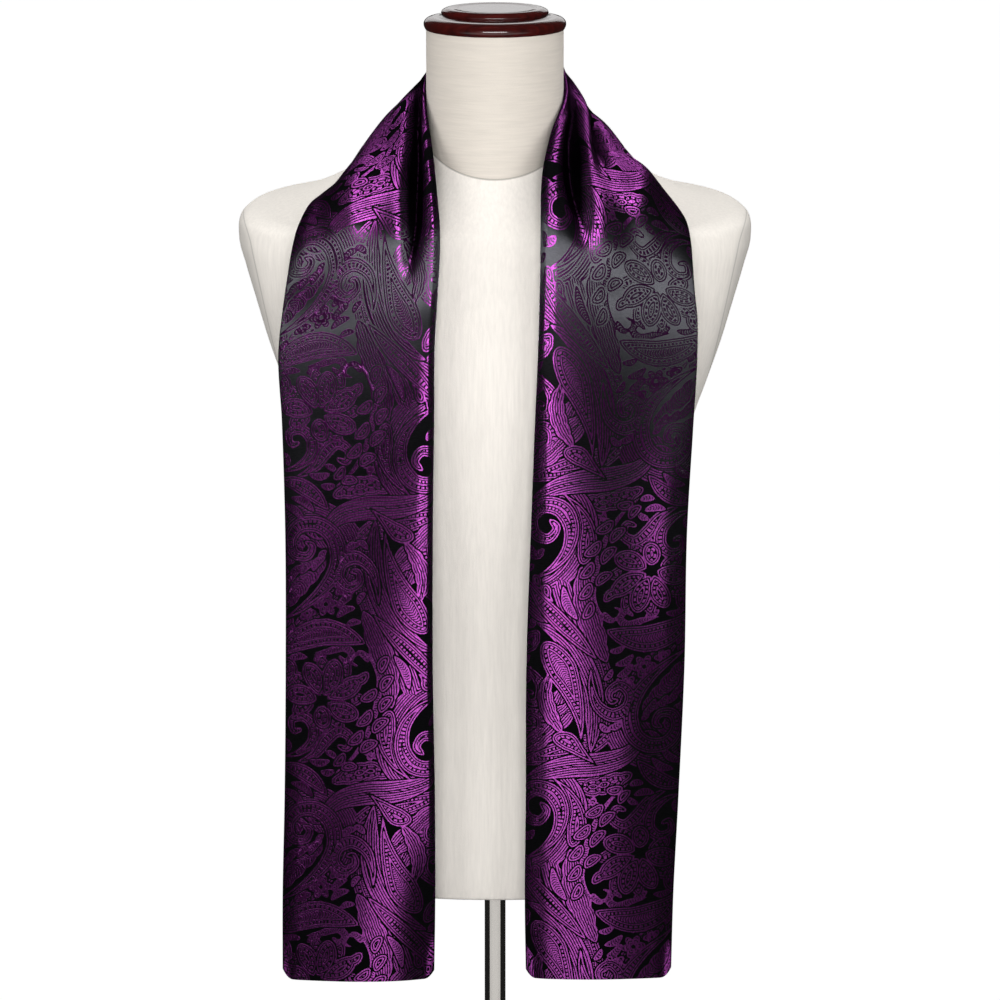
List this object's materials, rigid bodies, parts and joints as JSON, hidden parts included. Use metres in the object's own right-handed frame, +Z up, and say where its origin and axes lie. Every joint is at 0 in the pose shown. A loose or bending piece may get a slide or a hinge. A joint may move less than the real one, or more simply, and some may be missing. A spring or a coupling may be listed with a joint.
{
  "type": "silk scarf on a dress form",
  "caption": "Long jacquard silk scarf folded lengthwise, draped round the neck of a limbless dress form so that both ends hang down the front to below the torso.",
  "frame": {"origin": "on the floor under the middle of the round base, on the pole's axis", "axes": "+Z up; the front of the form faces -Y; +X is the viewer's right"},
  "size_m": [0.434, 0.38, 1.5793],
  "materials": {
    "silk": "satin jacquard, purple paisley figure on a charcoal ground",
    "linen": "plain cream slub linen",
    "cap_wood": "dark mahogany, gloss varnish",
    "pole_steel": "polished",
    "base_steel": "satin"
  },
  "bodies": {
    "root": {"scarf_left_fall": "silk", "scarf_neck": "silk", "scarf_right_fall": "silk", "form_torso": "linen", "form_neck": "linen", "form_neck_cap": "cap_wood", "form_pole": "pole_steel", "form_base": "base_steel"}
  },
  "joints": []
}
